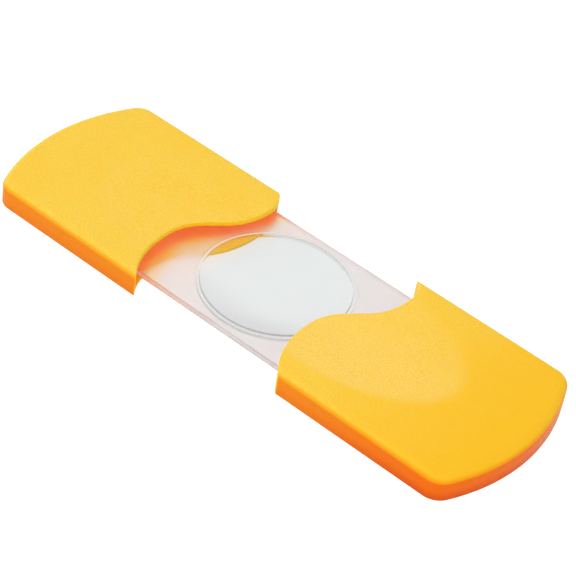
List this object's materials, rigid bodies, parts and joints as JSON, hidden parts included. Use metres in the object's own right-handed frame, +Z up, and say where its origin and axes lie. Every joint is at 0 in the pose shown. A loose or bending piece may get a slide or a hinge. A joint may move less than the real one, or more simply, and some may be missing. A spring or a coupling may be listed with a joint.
{
  "type": "pocket magnifier",
  "caption": "Flat slide-apart pocket magnifier: moulded covers with wavy mouths slide outwards along a clear carrier to show a round lens.",
  "frame": {"origin": "on the table under the centre of the lens, at the bottom centre of the whole magnifier with both covers pulled open", "axes": "+X along the magnifier from the left cover to the right cover, +Y across it from the edge nearer the viewer to the far edge, +Z up out of the table"},
  "size_m": [0.1284, 0.044, 0.0058],
  "materials": {
    "cover": "yellow-orange moulded plastic with a fine spark-eroded grain",
    "cover_floor": "the same orange plastic, flat and a little smoother",
    "carrier": "clear acrylic with a lightly frosted face",
    "lens": "clear polished acrylic"
  },
  "bodies": {
    "carrier": {"lens_carrier": "carrier", "magnifying_lens": "lens"},
    "left_cover": {"left_cover_shell": "cover", "left_cover_floor": "cover_floor"},
    "right_cover": {"right_cover_shell": "cover", "right_cover_floor": "cover_floor"}
  },
  "joints": [
    {"name": "left_cover_slide", "type": "slide", "parent": "carrier", "child": "left_cover", "axis": [1, 0, 0], "range_m": [0, 0.01885]},
    {"name": "right_cover_slide", "type": "slide", "parent": "carrier", "child": "right_cover", "axis": [-1, 0, 0], "range_m": [0, 0.01885]}
  ]
}
